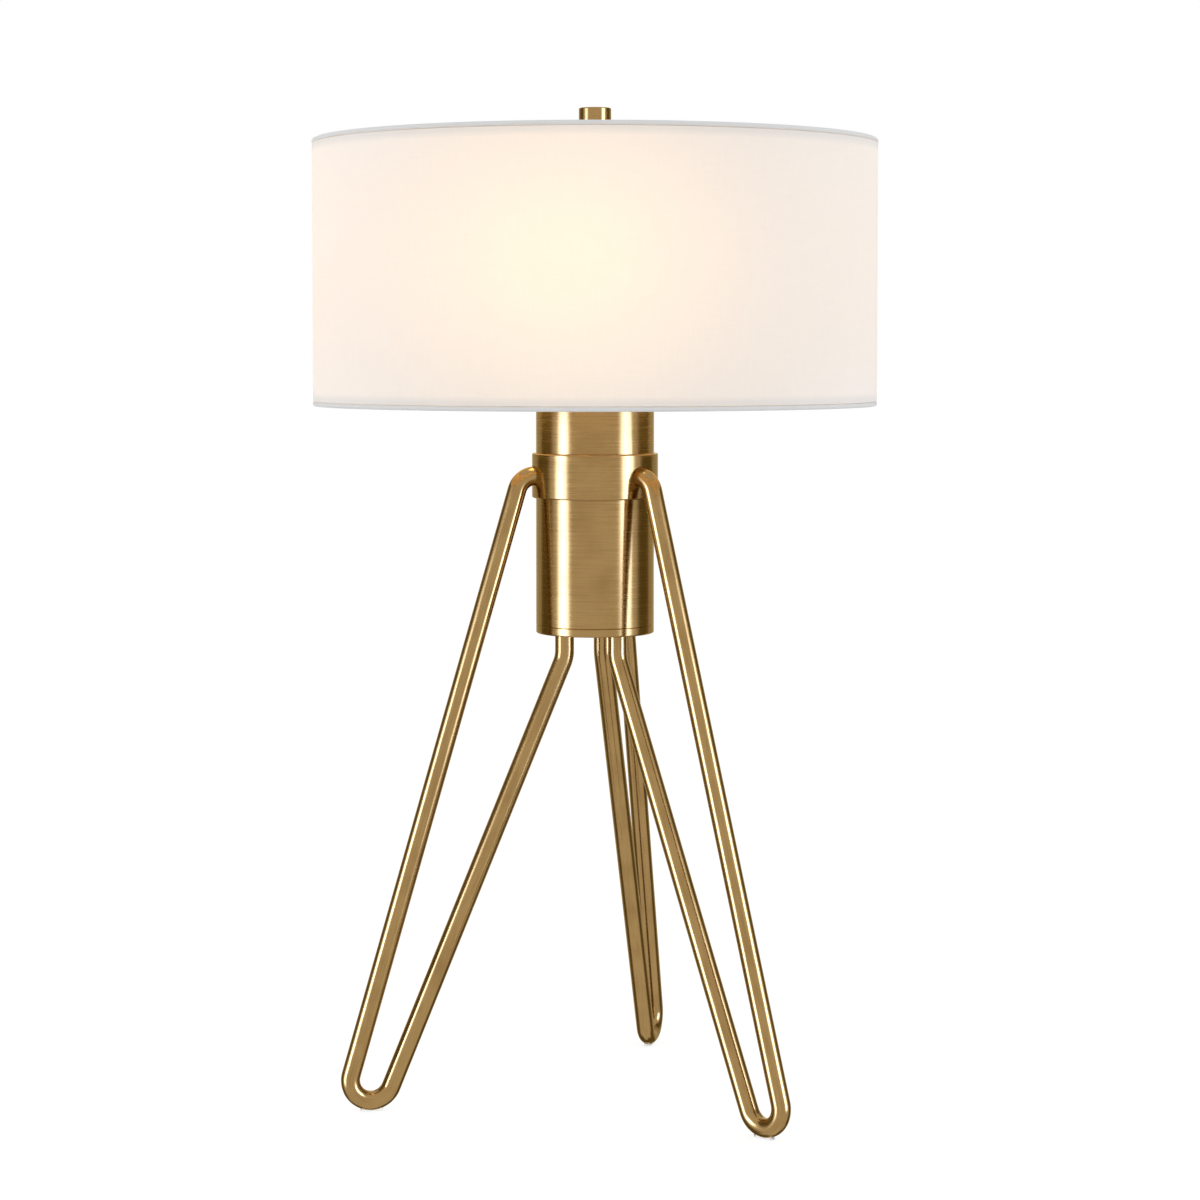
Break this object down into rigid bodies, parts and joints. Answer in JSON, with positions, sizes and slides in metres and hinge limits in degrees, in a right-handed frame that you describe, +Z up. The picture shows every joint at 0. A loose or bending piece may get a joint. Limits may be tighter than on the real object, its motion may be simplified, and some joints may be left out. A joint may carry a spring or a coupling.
{
  "type": "tripod table lamp",
  "caption": "Table lamp with a canister body on three bent-rod hairpin legs, a lift-off drum shade on a harp, a screw-on finial and a bulb in a turn-switch socket.",
  "frame": {"origin": "on the table, on the lamp's vertical axis", "axes": "+Z up along the lamp's axis; -Y is the front, with the switch knob; +X to the right; the back leg stands at 75 degrees from +X, the left leg at 195 and the right leg at 315"},
  "size_m": [0.3558, 0.3558, 0.6296],
  "materials": {
    "body_brass": "brushed round the axis, satin, with a soft gold tone",
    "leg_brass": "brushed along the rod, satin",
    "finial_brass": "finely turned, satin",
    "harp_brass": "plated, bright",
    "socket_brass": "plated shell brass, bright",
    "plated_steel": "zinc plated",
    "black_plastic": "moulded, matte",
    "knob_plastic": "moulded, glossy",
    "fibre": "pressed fibre board, matte",
    "foot_pad": "soft clear pad, darkened by the metal behind it",
    "frosted_glass": "frosted, lit from inside",
    "bulb_body": "moulded white, satin",
    "bulb_metal": "bright, rolled thread",
    "shade_fabric": "fine plain weave, warm white, lit through",
    "shade_liner": "smooth translucent backing sheet",
    "hem_fabric": "same fabric, rolled over the ring",
    "ring_wire": "white enamel wire"
  },
  "bodies": {
    "lamp_base": {"leg_back": "leg_brass", "leg_left": "leg_brass", "leg_right": "leg_brass", "foot_pads": "foot_pad", "leg_saddle_washers": "plated_steel", "leg_top_nuts": "plated_steel", "leg_stem_washers": "plated_steel", "leg_stem_nuts": "plated_steel", "canister_tube": "body_brass", "collar_band": "body_brass", "base_cap": "body_brass", "top_dish": "body_brass", "lamp_pipe": "plated_steel", "pipe_locknut_bottom": "plated_steel", "pipe_locknut_top": "plated_steel", "pipe_star_washer": "plated_steel", "cord_bushing": "black_plastic", "harp_saddle": "harp_brass", "socket_cap": "socket_brass", "socket_set_screw": "plated_steel", "socket_shell": "socket_brass", "socket_liner": "fibre", "socket_switch_body": "black_plastic", "socket_terminal_screws": "socket_brass", "socket_screw_shell": "socket_brass", "socket_contact": "socket_brass"},
    "switch": {"switch_shaft": "plated_steel", "switch_knob": "knob_plastic"},
    "harp": {"harp_wire": "harp_brass", "harp_stud": "harp_brass"},
    "ferrule_left": {"harp_ferrule_left": "harp_brass"},
    "ferrule_right": {"harp_ferrule_right": "harp_brass"},
    "shade": {"shade_fabric": "shade_fabric", "shade_liner": "shade_liner", "shade_top_ring": "ring_wire", "shade_bottom_ring": "ring_wire", "shade_top_hem": "hem_fabric", "shade_bottom_hem": "hem_fabric", "shade_spider_arms": "ring_wire", "shade_spider_hub": "ring_wire"},
    "finial": {"finial": "finial_brass"},
    "bulb": {"bulb_globe": "frosted_glass", "bulb_collar": "bulb_body", "bulb_screw_shell": "bulb_metal", "bulb_insulator": "black_plastic", "bulb_tip": "bulb_metal"}
  },
  "joints": [
    {"name": "switch_turn", "type": "hinge", "parent": "lamp_base", "child": "switch", "pos_m": [0, -0.02, 0.4646], "axis": [0, -1, 0], "continuous": true},
    {"name": "harp_lift", "type": "slide", "parent": "lamp_base", "child": "harp", "axis": [0, 0, 1], "range_m": [0, 0.03]},
    {"name": "ferrule_left_slide", "type": "slide", "parent": "harp", "child": "ferrule_left", "axis": [0, 0, 1], "range_m": [0, 0.012]},
    {"name": "ferrule_right_slide", "type": "slide", "parent": "harp", "child": "ferrule_right", "axis": [0, 0, 1], "range_m": [0, 0.012]},
    {"name": "shade_lift", "type": "slide", "parent": "harp", "child": "shade", "axis": [0, 0, 1], "range_m": [0, 0.12]},
    {"name": "finial_unscrew", "type": "slide", "parent": "shade", "child": "finial", "axis": [0, 0, 1], "range_m": [0, 0.02]},
    {"name": "bulb_unscrew", "type": "slide", "parent": "lamp_base", "child": "bulb", "axis": [0, 0, 1], "range_m": [0, 0.024]}
  ]
}
